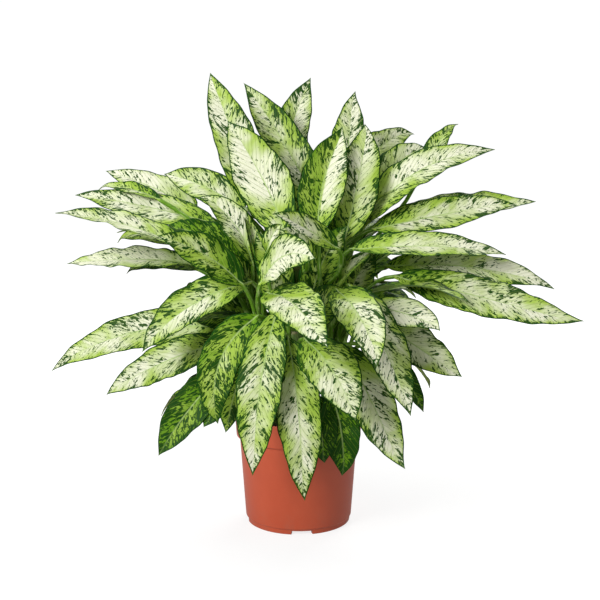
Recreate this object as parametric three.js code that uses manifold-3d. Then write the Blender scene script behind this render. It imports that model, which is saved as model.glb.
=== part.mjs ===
// Potted dieffenbachia: a bushy plant of five canes in a plastic nursery pot.
// Millimetres, +Z up. The origin is the centre of the pot's foot, on the surface that it stands on.
import * as THREE from 'three';
import { mergeVertices } from 'three/addons/utils/BufferGeometryUtils.js';
import Module from 'manifold-3d';

const wasm = await Module();
wasm.setup();

// Driving dimensions.
const gap = 0.3; // left between pieces that touch
const pot = {
  footRadius: 76,
  footWidth: 9,
  footHeight: 7,
  floorHeight: 6,
  wall: 2.2,
  wallBottomRadius: 78.3,
  wallTopRadius: 86.8,
  collarBottom: 127,
  collarBottomRadius: 91.6,
  collarTopRadius: 94,
  height: 162,
  sides: 56,
};
const drainage = {
  notches: 4,
  notchWidth: 31,
  notchHeight: 5.5,
  firstNotch: -86, // degrees round from +X, so that one notch faces just right of the front
  holes: 8,
  holeRadius: 4.5,
  holeCircle: 48,
};
const soilTop = 148;
const soilUnevenness = 2.5;
const cane = {
  radius: 8,
  topRadius: 6.5,
  depthInSoil: 70,
  rings: 7,
  sides: 10,
};
const petiole = {
  baseRadius: 4.4,
  radius: 3,
  rings: 4,
};
// On its way up a petiole first climbs, then leans outwards, and bends over into the blade: each is
// a share of the straight line from its foot to the neck.
const petioleWay = {
  climb: 0.36,
  outward: 0.16,
  bend: 0.3,
};
// How far below its neck a leaf joins the cane: more for a neck that is further away.
const joining = {
  below: 45,
  perAway: 0.7,
  aboveSoil: 30,
  belowTop: 10,
};
const blade = {
  edgeThickness: 0.9,
  ridgeAbove: 0.7,
  keelBelow: 2.1,
  rise: 0.62, // how fast the outline widens from the neck
  fall: 0.92, // how fast it narrows to the tip
  archAt: 0.48, // share of the blade's length where its arch is highest
  tipThinning: 0.75,
  stations: [0, 0.07, 0.16, 0.28, 0.42, 0.56, 0.7, 0.82, 0.925],
};

// Balls that keep the pieces apart while the leaves are placed.
const keepClear = {
  cell: 9,
  spacing: 5,
  bladeRadius: 2.4,
  aroundPetiole: 0.35,
  aroundCane: 0.1,
  potWall: 3,
};

const terracotta = new THREE.MeshStandardMaterial({ color: 0xb4502f, roughness: 0.5 });
const peat = new THREE.MeshStandardMaterial({ color: 0x2c2019, roughness: 1 });
const caneGreen = new THREE.MeshStandardMaterial({ color: 0x6f8f3a, roughness: 0.6 });
const leafCream = new THREE.MeshStandardMaterial({ color: 0xc9dca4, roughness: 0.45 });
const leafGreen = new THREE.MeshStandardMaterial({ color: 0x4f8a34, roughness: 0.45 });

// Canes: foot on the soil and top, in x, y and height.
const canes = {
  left: { foot: [-40, -10], top: [-56, -24, 345] },
  right: { foot: [40, -6], top: [48, -22, 352] },
  front: { foot: [-2, -44], top: [-8, -58, 292] },
  middle: { foot: [-3, 4], top: [-2, 12, 402] },
  back: { foot: [4, 46], top: [8, 62, 372] },
};

// Leaves: name, cane, neck where the blade starts, tip, arch of the midrib over the straight line,
// its bow to one side, blade width, how far the upper face is turned forwards from straight up, and
// fold of each half. The first ones are placed first; a later leaf gives way to the earlier ones.
const leaves = [
  ['leaf_front_01', 'left', [-52, -95, 362], [21, -195, 407], 22, 0, 56, 62, 16],
  ['leaf_front_02', 'left', [-42, -98, 350], [32, -260, 306], 18, 0, 64, 58, 12],
  ['leaf_front_03', 'right', [52, -82, 353], [102, -225, 277], 16, 0, 60, 62, 12],
  ['leaf_front_04', 'front', [8, -114, 290], [73, -220, 205], 14, 0, 68, 60, 8],
  ['leaf_front_05', 'right', [70, -70, 358], [148, -170, 198], 10, 0, 60, 60, 12],
  ['leaf_front_06', 'left', [-30, -98, 324], [-59, -170, 116], 20, 0, 60, 60, 12],
  ['leaf_front_07', 'front', [-14, -90, 292], [6, -142, 78], 14, 0, 60, 60, 12],
  ['leaf_front_08', 'right', [60, -92, 278], [138, -160, 121], 4, 0, 60, 60, 12],
  ['leaf_front_09', 'left', [-56, -84, 318], [-110, -150, 175], 32, 0, 56, 60, 16],
  ['leaf_front_10', 'front', [44, -98, 215], [62, -112, 98], 8, 0, 52, 60, 14],
  ['leaf_right_01', 'right', [72, -45, 405], [289, -62, 402], 8, 0, 54, 32, 16],
  ['leaf_right_02', 'right', [136, -40, 367], [386, -110, 310], 2, 0, 64, 52, 12],
  ['leaf_right_03', 'middle', [105, -10, 431], [314, -10, 472], 2, 0, 58, 48, 16],
  ['leaf_right_04', 'right', [101, -50, 326], [192, -140, 307], 5, 0, 54, 45, 14],
  ['leaf_right_05', 'right', [112, -45, 303], [222, -110, 236], 2, 0, 58, 58, 12],
  ['leaf_right_06', 'right', [124, -15, 377], [364, -50, 353], 14, 0, 58, 40, 16],
  ['leaf_right_07', 'middle', [92, 5, 433], [285, 20, 545], 30, 0, 60, 36, 16],
  ['leaf_right_08', 'back', [151, 50, 449], [352, 45, 469], 4, 0, 52, 40, 16],
  ['leaf_right_09', 'back', [119, 60, 486], [200, 110, 552], 12, 0, 52, 50, 16],
  ['leaf_left_01', 'left', [-66, -40, 359], [-218, -85, 268], 18, 0, 58, 58, 14],
  ['leaf_left_02', 'left', [-65, -60, 381], [-139, -45, 483], 14, 0, 50, 40, 24],
  ['leaf_left_03', 'left', [-71, -52, 366], [-193, -55, 436], 18, 0, 54, 35, 18],
  ['leaf_left_04', 'left', [-78, -40, 358], [-187, -85, 430], 10, 0, 54, 50, 16],
  ['leaf_left_05', 'left', [-108, 10, 285], [-390, 95, 206], 26, 0, 60, 60, 12],
  ['leaf_left_06', 'left', [-103, -10, 271], [-291, 30, 183], 8, 0, 54, 62, 12],
  ['leaf_left_07', 'left', [-114, -20, 222], [-202, -50, 109], 5, 0, 56, 62, 14],
  ['leaf_left_08', 'middle', [-121, 10, 438], [-328, 20, 483], 3, 0, 60, 38, 14],
  ['leaf_left_09', 'left', [-150, -44, 405], [-335, -62, 460], 9, 0, 50, 22, 18],
  ['leaf_left_10', 'middle', [-150, 50, 456], [-293, 90, 515], 5, 0, 54, 42, 14],
  ['leaf_left_11', 'left', [-157, 5, 382], [-336, 0, 382], 6, 0, 52, 30, 16],
  ['leaf_left_12', 'middle', [-79, 45, 452], [-203, 78, 510], 10, 0, 54, 60, 14],
  ['leaf_crown_01', 'middle', [55, -62, 409], [-30, -110, 462], 2, 0, 42, 50, 18],
  ['leaf_crown_02', 'right', [28, -35, 425], [66, 0, 576], 4, -12, 68, 84, 24],
  ['leaf_crown_03', 'middle', [-18, -30, 425], [-103, 15, 587], 4, 8, 76, 92, 14],
  ['leaf_crown_04', 'right', [66, -20, 417], [101, 30, 584], 8, 8, 62, 88, 12],
  ['leaf_crown_05', 'middle', [-59, 20, 455], [-133, 60, 659], 8, -7, 60, 88, 14],
  ['leaf_crown_06', 'middle', [38, 40, 440], [-83, 95, 647], 6, 4, 62, 92, 14],
  ['leaf_crown_07', 'middle', [68, 22, 436], [81, 75, 634], 6, 0, 58, 88, 14],
  ['leaf_crown_08', 'middle', [54, 5, 416], [91, 55, 567], 6, 0, 52, 88, 16],
  ['leaf_crown_09', 'back', [-30, 85, 470], [19, 135, 657], 6, -8, 60, 88, 14],
  ['leaf_crown_10', 'back', [78, 90, 490], [181, 140, 577], 16, 0, 52, 70, 14],
  ['leaf_back_01', 'back', [-35, 95, 430], [-120, 240, 500], 22, 0, 56, -12, 14],
  ['leaf_back_02', 'back', [32, 100, 435], [75, 262, 498], 24, 0, 58, -10, 14],
  ['leaf_back_03', 'left', [-75, 80, 380], [-205, 190, 435], 20, 0, 56, 0, 14],
  ['leaf_back_04', 'right', [80, 85, 395], [195, 200, 425], 22, 0, 56, 0, 14],
  ['leaf_back_05', 'back', [-15, 118, 390], [-40, 262, 395], 30, 0, 60, -20, 12],
  ['leaf_back_06', 'back', [60, 108, 350], [130, 245, 335], 26, 0, 58, -25, 12],
  ['leaf_back_07', 'back', [-60, 105, 340], [-140, 240, 325], 26, 0, 58, -25, 12],
  ['leaf_back_08', 'back', [2, 122, 318], [15, 255, 245], 24, 0, 60, -35, 12],
  ['leaf_back_09', 'right', [72, 88, 300], [122, 190, 235], 22, 0, 56, -35, 12],
  ['leaf_back_10', 'left', [-82, 80, 300], [-150, 175, 235], 22, 0, 56, -35, 12],
  ['leaf_back_11', 'back', [-42, 115, 265], [-72, 200, 180], 18, 0, 54, -40, 12],
  ['leaf_back_12', 'back', [38, 115, 262], [62, 210, 175], 18, 0, 54, -40, 12],
];

const vector = (x, y, z) => new THREE.Vector3(x, y, z);
const radians = THREE.MathUtils.degToRad;

// A closed mesh from rings of points that are joined one to the next, with a flat cap at each end.
// A last ring of one point closes the mesh to a tip.
function loft(rings) {
  const positions = rings.flat().flatMap((point) => point.toArray());
  const sides = rings[0].length;
  const index = [];
  for (let ring = 0; ring + 1 < rings.length; ring += 1) {
    const start = ring * sides;
    const pointed = rings[ring + 1].length === 1;
    for (let side = 0; side < sides; side += 1) {
      const next = (side + 1) % sides;
      if (pointed) {
        index.push(start + side, start + next, start + sides);
      } else {
        index.push(start + side, start + next, start + sides + next);
        index.push(start + side, start + sides + next, start + sides + side);
      }
    }
  }
  for (let side = 1; side + 1 < sides; side += 1) {
    index.push(0, side + 1, side);
  }
  const last = rings.length - 1;
  if (rings[last].length > 1) {
    for (let side = 1; side + 1 < sides; side += 1) {
      index.push(last * sides, last * sides + side, last * sides + side + 1);
    }
  }
  const geometry = new THREE.BufferGeometry();
  geometry.setAttribute('position', new THREE.Float32BufferAttribute(positions, 3));
  geometry.setIndex(index);
  return geometry;
}

// The same closed geometry as a manifold solid, its shared vertices merged by place.
function solidOf(geometry, matrix = new THREE.Matrix4()) {
  const bare = geometry.clone().applyMatrix4(matrix);
  bare.deleteAttribute('normal');
  bare.deleteAttribute('uv');
  const merged = mergeVertices(bare, 1e-4);
  return new wasm.Manifold(new wasm.Mesh({
    numProp: 3,
    vertProperties: new Float32Array(merged.attributes.position.array),
    triVerts: new Uint32Array(merged.index.array),
  }));
}

function geometryOf(solid) {
  const mesh = solid.getMesh();
  const geometry = new THREE.BufferGeometry();
  geometry.setAttribute('position', new THREE.BufferAttribute(mesh.vertProperties, 3));
  geometry.setIndex(new THREE.BufferAttribute(mesh.triVerts, 1));
  return geometry;
}

function turned(profile, sides) {
  const points = profile.map(([radius, height]) => new THREE.Vector2(radius, height));
  const geometry = new THREE.LatheGeometry(points, sides);
  geometry.rotateX(Math.PI / 2); // the lathe's axis is +Y, the pot's is +Z
  return geometry;
}

// Outer wall radius between the foot and the collar, at a height.
function wallRadius(height) {
  const along = (height - pot.footHeight) / (pot.collarBottom - pot.footHeight);
  return THREE.MathUtils.lerp(pot.wallBottomRadius, pot.wallTopRadius, along);
}

// Pot: one thin moulding, with its drainage holes and the notches in its foot ring cut out.
function potGeometry() {
  const floorTop = pot.floorHeight + pot.wall;
  const collarInside = pot.collarTopRadius - pot.wall;
  const profile = [
    [0, pot.floorHeight],
    [pot.footRadius - pot.footWidth, pot.floorHeight],
    [pot.footRadius - pot.footWidth + 0.5, 0],
    [pot.footRadius - 0.6, 0],
    [pot.footRadius, 0.8],
    [pot.footRadius + 0.7, pot.footHeight],
    [wallRadius(pot.footHeight), pot.footHeight + 1.6],
    [pot.wallTopRadius, pot.collarBottom],
    [pot.collarBottomRadius - 1, pot.collarBottom + 1],
    [pot.collarBottomRadius, pot.collarBottom + 3],
    [pot.collarTopRadius, pot.height - 1],
    [pot.collarTopRadius - 0.7, pot.height],
    [collarInside, pot.height],
    [pot.collarBottomRadius - pot.wall, pot.collarBottom + 4],
    [pot.wallTopRadius - pot.wall, pot.collarBottom + 1],
    [wallRadius(floorTop) - pot.wall, floorTop],
    [0, floorTop],
  ];
  let solid = solidOf(turned(profile, pot.sides));
  for (let notch = 0; notch < drainage.notches; notch += 1) {
    const heading = radians(drainage.firstNotch + notch * 360 / drainage.notches);
    const depth = pot.footWidth * 3;
    const tool = new THREE.BoxGeometry(depth, drainage.notchWidth, drainage.notchHeight * 2);
    const place = new THREE.Matrix4().makeRotationZ(heading);
    place.multiply(new THREE.Matrix4().makeTranslation(pot.footRadius, 0, 0));
    solid = solid.subtract(solidOf(tool, place));
  }
  for (let hole = 0; hole <= drainage.holes; hole += 1) {
    const heading = hole / drainage.holes * 2 * Math.PI;
    const reach = hole === drainage.holes ? 0 : drainage.holeCircle;
    const tool = new THREE.CylinderGeometry(drainage.holeRadius, drainage.holeRadius, 40, 10);
    const place = new THREE.Matrix4().makeTranslation(
      reach * Math.cos(heading), reach * Math.sin(heading), 0);
    solid = solid.subtract(solidOf(tool, place.multiply(new THREE.Matrix4().makeRotationX(Math.PI / 2))));
  }
  return geometryOf(solid);
}

// Soil: a plug that fills the pot, uneven on top, with a socket for each cane.
function soilGeometry() {
  const floorTop = pot.floorHeight + pot.wall + gap;
  const inside = (height) => wallRadius(height) - pot.wall - gap;
  const aboveWall = pot.collarBottomRadius - pot.wall - gap - 0.4;
  const profile = [
    [0, floorTop],
    [inside(floorTop), floorTop],
    [inside(pot.collarBottom), pot.collarBottom - 1],
    [inside(pot.collarBottom), pot.collarBottom + 3],
    [aboveWall - 1, pot.collarBottom + 5],
    [aboveWall, soilTop - 6],
    [70, soilTop],
    [52, soilTop],
    [34, soilTop],
    [16, soilTop],
    [0, soilTop],
  ];
  const geometry = turned(profile, 28);
  const position = geometry.attributes.position;
  for (let i = 0; i < position.count; i += 1) {
    if (position.getZ(i) > soilTop - 8) {
      const x = position.getX(i) / 17;
      const y = position.getY(i) / 17;
      const lift = Math.sin(x * 1.3 + 0.4) * Math.cos(y * 1.1) + 0.6 * Math.sin(x * 2.3 - y * 1.9);
      position.setZ(i, position.getZ(i) + soilUnevenness * lift);
    }
  }
  let solid = solidOf(geometry);
  for (const stem of Object.values(canes)) {
    solid = solid.subtract(solidOf(caneGeometry(stem, gap)));
  }
  return geometryOf(solid);
}

// Point on a cane's axis at a height: straight up out of the soil, then leaning over to its top.
function caneAxis({ foot, top }, height) {
  const along = Math.max(0, (height - soilTop) / (top[2] - soilTop));
  const lean = along ** 1.4;
  return vector(
    THREE.MathUtils.lerp(foot[0], top[0], lean),
    THREE.MathUtils.lerp(foot[1], top[1], lean),
    height);
}

function caneRadius({ top }, height) {
  const along = THREE.MathUtils.clamp((height - soilTop) / (top[2] - soilTop), 0, 1);
  return THREE.MathUtils.lerp(cane.radius, cane.topRadius, along);
}

// Cane: a round stem, slightly thinner towards its top. A fatter copy cuts its socket.
function caneGeometry(stem, fatter = 0) {
  const bottom = soilTop - cane.depthInSoil - fatter;
  const rings = [];
  for (let ring = 0; ring < cane.rings; ring += 1) {
    const height = THREE.MathUtils.lerp(bottom, stem.top[2], ring / (cane.rings - 1));
    const centre = caneAxis(stem, height);
    const radius = caneRadius(stem, height) + fatter;
    const points = [];
    for (let side = 0; side < cane.sides; side += 1) {
      const heading = side / cane.sides * 2 * Math.PI;
      points.push(vector(radius * Math.cos(heading), radius * Math.sin(heading), 0).add(centre));
    }
    rings.push(points);
  }
  return loft(rings);
}

// Half width of a blade at a share of its length: widest at two fifths, drawn out to the tip.
function halfWidth(width, along) {
  const peak = blade.rise / (blade.rise + blade.fall);
  const shape = (along / peak) ** blade.rise * ((1 - along) / (1 - peak)) ** blade.fall;
  return Math.max(petiole.radius, width / 2 * shape);
}

// The midrib's line: a petiole that climbs away from the cane and bends over at the neck,
// then a blade that arches to its tip. Returns places along it with their cross-sections' frames.
function leafStations(leaf, bladeSteps, petioleRings) {
  const { stem, neck, tip, arch, bow, width, turn, fold, attach } = leaf;
  const chord = tip.clone().sub(neck);
  const towardTip = chord.clone().normalize();
  const above = vector(0, 0, 1);
  above.addScaledVector(towardTip, -above.dot(towardTip)).normalize();
  const aside = towardTip.clone().cross(above);
  const control = neck.clone().lerp(tip, blade.archAt);
  control.addScaledVector(above, arch * 2).addScaledVector(aside, bow * 2);
  const bladeLine = new THREE.QuadraticBezierCurve3(neck, control, tip);
  const start = bladeLine.getTangent(0);
  const axis = caneAxis(stem, attach);
  const outward = neck.clone().sub(axis).setZ(0).normalize();
  const foot = axis.clone().addScaledVector(
    outward, caneRadius(stem, attach) + petiole.baseRadius + gap + 0.4);
  const reach = foot.distanceTo(neck);
  const petioleLine = new THREE.CubicBezierCurve3(
    foot,
    foot.clone().add(vector(0, 0, reach * petioleWay.climb))
      .addScaledVector(outward, reach * petioleWay.outward),
    neck.clone().addScaledVector(start, -reach * petioleWay.bend),
    neck);
  const stations = [];
  for (let ring = 0; ring + 1 < petioleRings; ring += 1) {
    const along = ring / (petioleRings - 1);
    const radius = THREE.MathUtils.lerp(petiole.baseRadius, petiole.radius, Math.min(1, along * 1.6));
    stations.push({ centre: petioleLine.getPoint(along), tangent: petioleLine.getTangent(along), radius });
  }
  for (const along of bladeSteps) {
    stations.push({
      centre: bladeLine.getPoint(along),
      tangent: bladeLine.getTangent(along),
      radius: petiole.radius * (1 - blade.tipThinning * along),
      half: halfWidth(width, along),
      along,
    });
  }
  // The upper face looks along `facing` at mid-blade and is carried along the line without twist.
  const facing = vector(0, -Math.sin(radians(turn)), Math.cos(radians(turn)));
  const middle = petioleRings - 1 + Math.floor(bladeSteps.length / 2);
  const settle = (station, normal) => {
    station.normal = normal.clone().addScaledVector(
      station.tangent, -normal.dot(station.tangent)).normalize();
    station.across = station.tangent.clone().cross(station.normal);
    station.fold = radians(fold);
  };
  settle(stations[middle], facing);
  for (let i = middle - 1; i >= 0; i -= 1) {
    settle(stations[i], stations[i + 1].normal);
  }
  for (let i = middle + 1; i < stations.length; i += 1) {
    settle(stations[i], stations[i - 1].normal);
  }
  return stations;
}

// Cross-section of a leaf: a hexagon on the petiole, and two thin wings and a keel on the blade.
function section({ centre, normal, across, radius, half, fold }) {
  const at = (side, up) => centre.clone().addScaledVector(across, side).addScaledVector(normal, up);
  if (half === undefined || half <= petiole.radius) {
    const wide = radius * 0.87;
    return [at(0, radius), at(wide, radius / 2), at(wide, -radius / 2),
      at(0, -radius), at(-wide, -radius / 2), at(-wide, radius / 2)];
  }
  const wing = half * Math.cos(fold);
  const lift = half * Math.sin(fold);
  const edge = blade.edgeThickness / 2;
  const slim = radius / petiole.radius;
  return [at(0, blade.ridgeAbove * slim), at(wing, lift + edge), at(wing, lift - edge),
    at(0, -blade.keelBelow * slim), at(-wing, lift - edge), at(-wing, lift + edge)];
}

function leafGeometry(leaf) {
  const rings = leafStations(leaf, blade.stations, petiole.rings).map(section);
  rings.push([leaf.tip]);
  return loft(rings);
}

// Room: small balls that fill the placed pieces, kept in a grid of cells to find near ones fast.
const room = new Map();
const cellKey = (i, j, k) => `${i},${j},${k}`;

function addBalls(balls) {
  for (const ball of balls) {
    const cell = ball.centre.toArray().map((value) => Math.floor(value / keepClear.cell));
    const key = cellKey(...cell);
    if (!room.has(key)) {
      room.set(key, []);
    }
    room.get(key).push(ball);
  }
}

function isClear(balls) {
  const reach = 2;
  for (const ball of balls) {
    const [i, j, k] = ball.centre.toArray().map((value) => Math.floor(value / keepClear.cell));
    for (let a = i - reach; a <= i + reach; a += 1) {
      for (let b = j - reach; b <= j + reach; b += 1) {
        for (let c = k - reach; c <= k + reach; c += 1) {
          const near = room.get(cellKey(a, b, c));
          if (near && near.some((other) => (
            other.centre.distanceTo(ball.centre) < other.radius + ball.radius))) {
            return false;
          }
        }
      }
    }
  }
  return true;
}

// Balls along a leaf: close together on the petiole, and a layer of small ones over the blade.
function leafBalls(leaf) {
  const steps = Math.ceil(leaf.neck.distanceTo(leaf.tip) / keepClear.spacing);
  const bladeSteps = Array.from({ length: steps }, (_, i) => i / steps);
  const balls = [];
  for (const station of leafStations(leaf, bladeSteps, 30)) {
    if (station.half === undefined || station.half <= petiole.radius) {
      balls.push({ centre: station.centre, radius: station.radius + keepClear.aroundPetiole });
      continue;
    }
    const count = Math.ceil(station.half / keepClear.spacing);
    for (let side = -count; side <= count; side += 1) {
      const out = side / count * station.half;
      const centre = station.centre.clone();
      centre.addScaledVector(station.across, out * Math.cos(station.fold));
      centre.addScaledVector(station.normal, Math.abs(out) * Math.sin(station.fold));
      balls.push({ centre, radius: keepClear.bladeRadius });
    }
  }
  return balls;
}

function caneBalls(stem) {
  const balls = [];
  for (let height = soilTop; height <= stem.top[2]; height += 3) {
    balls.push({ centre: caneAxis(stem, height), radius: caneRadius(stem, height) + keepClear.aroundCane });
  }
  return balls;
}

function potBalls() {
  const balls = [];
  for (let height = 4; height <= pot.height; height += 5) {
    const radius = height > pot.collarBottom ? pot.collarTopRadius : wallRadius(height);
    for (let heading = 0; heading < 2 * Math.PI; heading += 0.055) {
      const centre = vector(radius * Math.cos(heading), radius * Math.sin(heading), height);
      balls.push({ centre, radius: keepClear.potWall });
    }
  }
  return balls;
}

// Every way a leaf may give way, the smallest change first: it moves forwards or back, its tip
// alone swings forwards or back, its face turns, or its petiole joins the cane higher or lower.
function waysToGive() {
  const ways = [];
  for (const shift of [0, 5, -5, 10, -10, 16, -16, 24, -24, 32, -32, 42, -42, 54, -54]) {
    for (const swing of [0, 12, -12, 26, -26, 44, -44]) {
      for (const turn of [0, 12, -12]) {
        for (const slide of [0, 14, -14, 28, -28, 44, -44]) {
          const effort = Math.abs(shift) + 0.5 * Math.abs(swing) + 0.6 * Math.abs(turn)
            + 0.2 * Math.abs(slide);
          ways.push({ shift, swing, turn, slide, effort });
        }
      }
    }
  }
  return ways.sort((a, b) => a.effort - b.effort);
}

function placedLeaf([name, stemName, neck, tip, arch, bow, width, turn, fold], ways) {
  const stem = canes[stemName];
  const lowest = soilTop + joining.aboveSoil;
  const highest = stem.top[2] - joining.belowTop;
  for (const way of ways) {
    const placedNeck = vector(...neck).add(vector(0, way.shift, 0));
    const placedTip = vector(...tip).add(vector(0, way.shift + way.swing, 0));
    const away = Math.hypot(placedNeck.x - stem.top[0], placedNeck.y - stem.top[1]);
    const attach = THREE.MathUtils.clamp(
      neck[2] - joining.below - joining.perAway * away + way.slide, lowest, highest);
    const leaf = {
      name,
      stem,
      neck: placedNeck,
      tip: placedTip,
      arch,
      bow,
      width,
      turn: turn + way.turn,
      fold,
      attach,
    };
    const balls = leafBalls(leaf);
    if (isClear(balls)) {
      addBalls(balls);
      return leaf;
    }
  }
  throw new Error(`${name} finds no clear place`);
}

const plant = new THREE.Group();

function addPiece(name, geometry, material) {
  const mesh = new THREE.Mesh(geometry, material);
  mesh.name = name;
  plant.add(mesh);
}

addPiece('pot', potGeometry(), terracotta);
addPiece('soil', soilGeometry(), peat);
addBalls(potBalls());
for (const [name, stem] of Object.entries(canes)) {
  addPiece(`cane_${name}`, caneGeometry(stem), caneGreen);
  addBalls(caneBalls(stem));
}
const ways = waysToGive();
for (const row of leaves) {
  const leaf = placedLeaf(row, ways);
  addPiece(leaf.name, leafGeometry(leaf), leaf.name.includes('back') ? leafGreen : leafCream);
}

export default plant;
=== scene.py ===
import math
import bpy
import numpy as np
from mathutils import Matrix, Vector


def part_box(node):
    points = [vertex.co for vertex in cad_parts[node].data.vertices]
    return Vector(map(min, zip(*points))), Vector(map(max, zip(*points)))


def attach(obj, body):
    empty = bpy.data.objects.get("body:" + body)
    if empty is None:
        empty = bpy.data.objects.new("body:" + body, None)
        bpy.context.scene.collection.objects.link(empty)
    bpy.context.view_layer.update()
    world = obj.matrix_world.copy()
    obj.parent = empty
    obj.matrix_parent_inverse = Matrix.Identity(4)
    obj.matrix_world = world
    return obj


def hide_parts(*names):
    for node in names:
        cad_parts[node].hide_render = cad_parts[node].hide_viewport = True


# A speckled dieffenbachia in its nursery pot. Each packed leaf and cane, the pot and the soil are
# rebuilt finer on the lines of their solids, in metres, and smaller leaves are added between them.

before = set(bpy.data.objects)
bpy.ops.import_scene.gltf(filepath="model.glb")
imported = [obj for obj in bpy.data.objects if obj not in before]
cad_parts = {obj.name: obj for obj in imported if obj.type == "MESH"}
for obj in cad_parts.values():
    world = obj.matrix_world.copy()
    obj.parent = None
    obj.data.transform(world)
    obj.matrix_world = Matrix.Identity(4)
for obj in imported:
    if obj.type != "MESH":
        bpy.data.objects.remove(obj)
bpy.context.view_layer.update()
print("frame loaded,", len(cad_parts), "nodes")

up = np.array([0.0, 0.0, 1.0])


def unit(rows):
    return rows / np.maximum(np.linalg.norm(rows, axis=-1, keepdims=True), 1e-12)


def smoothThrough(knots, values, at):
    # Cubic through the values: on each span, Hermite with slopes from the two neighbours.
    knots = np.asarray(knots, float)
    values = np.asarray(values, float)
    flat = values.reshape(len(knots), -1)
    slopes = np.gradient(flat, knots, axis=0)
    span = np.clip(np.searchsorted(knots, at, side="right") - 1, 0, len(knots) - 2)
    width = (knots[span + 1] - knots[span])[:, None]
    t = (np.asarray(at)[:, None] - knots[span][:, None]) / width
    a = flat[span] * (1 + 2 * t) * (1 - t) ** 2 + slopes[span] * width * t * (1 - t) ** 2
    b = flat[span + 1] * t * t * (3 - 2 * t) + slopes[span + 1] * width * t * t * (t - 1)
    return (a + b).reshape((len(at),) + values.shape[1:])


def gridFaces(rings, around):
    # Quads between each ring and the next, closed round.
    ring, side = np.meshgrid(np.arange(rings - 1), np.arange(around), indexing="ij")
    nextSide = (side + 1) % around
    quads = np.stack([ring * around + side, ring * around + nextSide,
                      (ring + 1) * around + nextSide, (ring + 1) * around + side], -1)
    return quads.reshape(-1, 4)


def newMesh(name, points, quads, triangles=None, smooth=True):
    mesh = bpy.data.meshes.new(name)
    loops = quads.ravel()
    sizes = np.full(len(quads), 4)
    if triangles is not None:
        loops = np.concatenate([loops, triangles.ravel()])
        sizes = np.concatenate([sizes, np.full(len(triangles), 3)])
    mesh.vertices.add(len(points))
    mesh.vertices.foreach_set("co", points.astype(np.float32).ravel())
    mesh.loops.add(len(loops))
    mesh.loops.foreach_set("vertex_index", loops.astype(np.int32))
    mesh.polygons.add(len(sizes))
    starts = np.concatenate([[0], np.cumsum(sizes)[:-1]])
    mesh.polygons.foreach_set("loop_start", starts.astype(np.int32))
    mesh.polygons.foreach_set("use_smooth", np.full(len(sizes), smooth))
    mesh.update(calc_edges=True)
    mesh.validate()
    return mesh


def newPiece(name, mesh, material, replaced=()):
    piece = bpy.data.objects.new(name, mesh)
    bpy.context.scene.collection.objects.link(piece)
    mesh.materials.append(material)
    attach(piece, "root")
    if replaced:
        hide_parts(*replaced)
    return piece


def addField(mesh, name, values):
    field = mesh.attributes.new(name, "FLOAT", "POINT")
    field.data.foreach_set("value", values.astype(np.float32).ravel())


class Nodes:
    # Short hand for building a node material: each call adds one node and links its inputs.
    def __init__(self, name):
        self.material = bpy.data.materials.new(name)
        self.material.use_nodes = True
        self.tree = self.material.node_tree
        self.shader = self.tree.nodes["Principled BSDF"]

    def put(self, target, value):
        if isinstance(value, bpy.types.NodeSocket):
            self.tree.links.new(value, target)
        else:
            target.default_value = value

    def math(self, operation, a, b=0.0):
        node = self.tree.nodes.new("ShaderNodeMath")
        node.operation = operation
        for socket, value in zip(node.inputs, (a, b)):
            self.put(socket, value)
        return node.outputs[0]

    def sum(self, first, *others):
        for other in others:
            first = self.math("ADD", first, other)
        return first

    def field(self, name):
        node = self.tree.nodes.new("ShaderNodeAttribute")
        node.attribute_name = name
        return node.outputs["Fac"]

    def place(self):
        return self.tree.nodes.new("ShaderNodeTexCoord").outputs["Object"]

    def point(self, x, y, z=0.0):
        node = self.tree.nodes.new("ShaderNodeCombineXYZ")
        for socket, value in zip(node.inputs, (x, y, z)):
            self.put(socket, value)
        return node.outputs[0]

    def stretch(self, vector, scale):
        node = self.tree.nodes.new("ShaderNodeMapping")
        self.put(node.inputs["Vector"], vector)
        node.inputs["Scale"].default_value = scale
        return node.outputs[0]

    def noise(self, vector, scale, detail=2.0, roughness=0.5, distortion=0.0):
        node = self.tree.nodes.new("ShaderNodeTexNoise")
        self.put(node.inputs["Vector"], vector)
        node.inputs["Scale"].default_value = scale
        node.inputs["Detail"].default_value = detail
        node.inputs["Roughness"].default_value = roughness
        node.inputs["Distortion"].default_value = distortion
        return node.outputs["Fac"]

    def cells(self, vector, scale):
        node = self.tree.nodes.new("ShaderNodeTexVoronoi")
        self.put(node.inputs["Vector"], vector)
        node.inputs["Scale"].default_value = scale
        return node.outputs["Distance"]

    def ramp(self, value, low, high, fromValue=0.0, toValue=1.0):
        node = self.tree.nodes.new("ShaderNodeMapRange")
        node.interpolation_type = "SMOOTHSTEP"
        for socket, amount in zip(node.inputs, (value, low, high, fromValue, toValue)):
            self.put(socket, amount)
        return node.outputs[0]

    def mix(self, share, a, b):
        node = self.tree.nodes.new("ShaderNodeMix")
        node.data_type = "RGBA"
        self.put(node.inputs["Factor"], share)
        for socket, value in ((node.inputs[6], a), (node.inputs[7], b)):
            self.put(socket, value if isinstance(value, bpy.types.NodeSocket) else (*value, 1.0))
        return node.outputs[2]

    def times(self, a, b):
        return self.math("MULTIPLY", a, b)

    def finish(self, color, roughness, height=None, bumpDistance=0.001, bumpStrength=1.0):
        self.put(self.shader.inputs["Base Color"], color)
        self.put(self.shader.inputs["Roughness"], roughness)
        if height is not None:
            bump = self.tree.nodes.new("ShaderNodeBump")
            bump.inputs["Strength"].default_value = bumpStrength
            bump.inputs["Distance"].default_value = bumpDistance
            self.put(bump.inputs["Height"], height)
            self.tree.links.new(bump.outputs[0], self.shader.inputs["Normal"])
        return self.material


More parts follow.
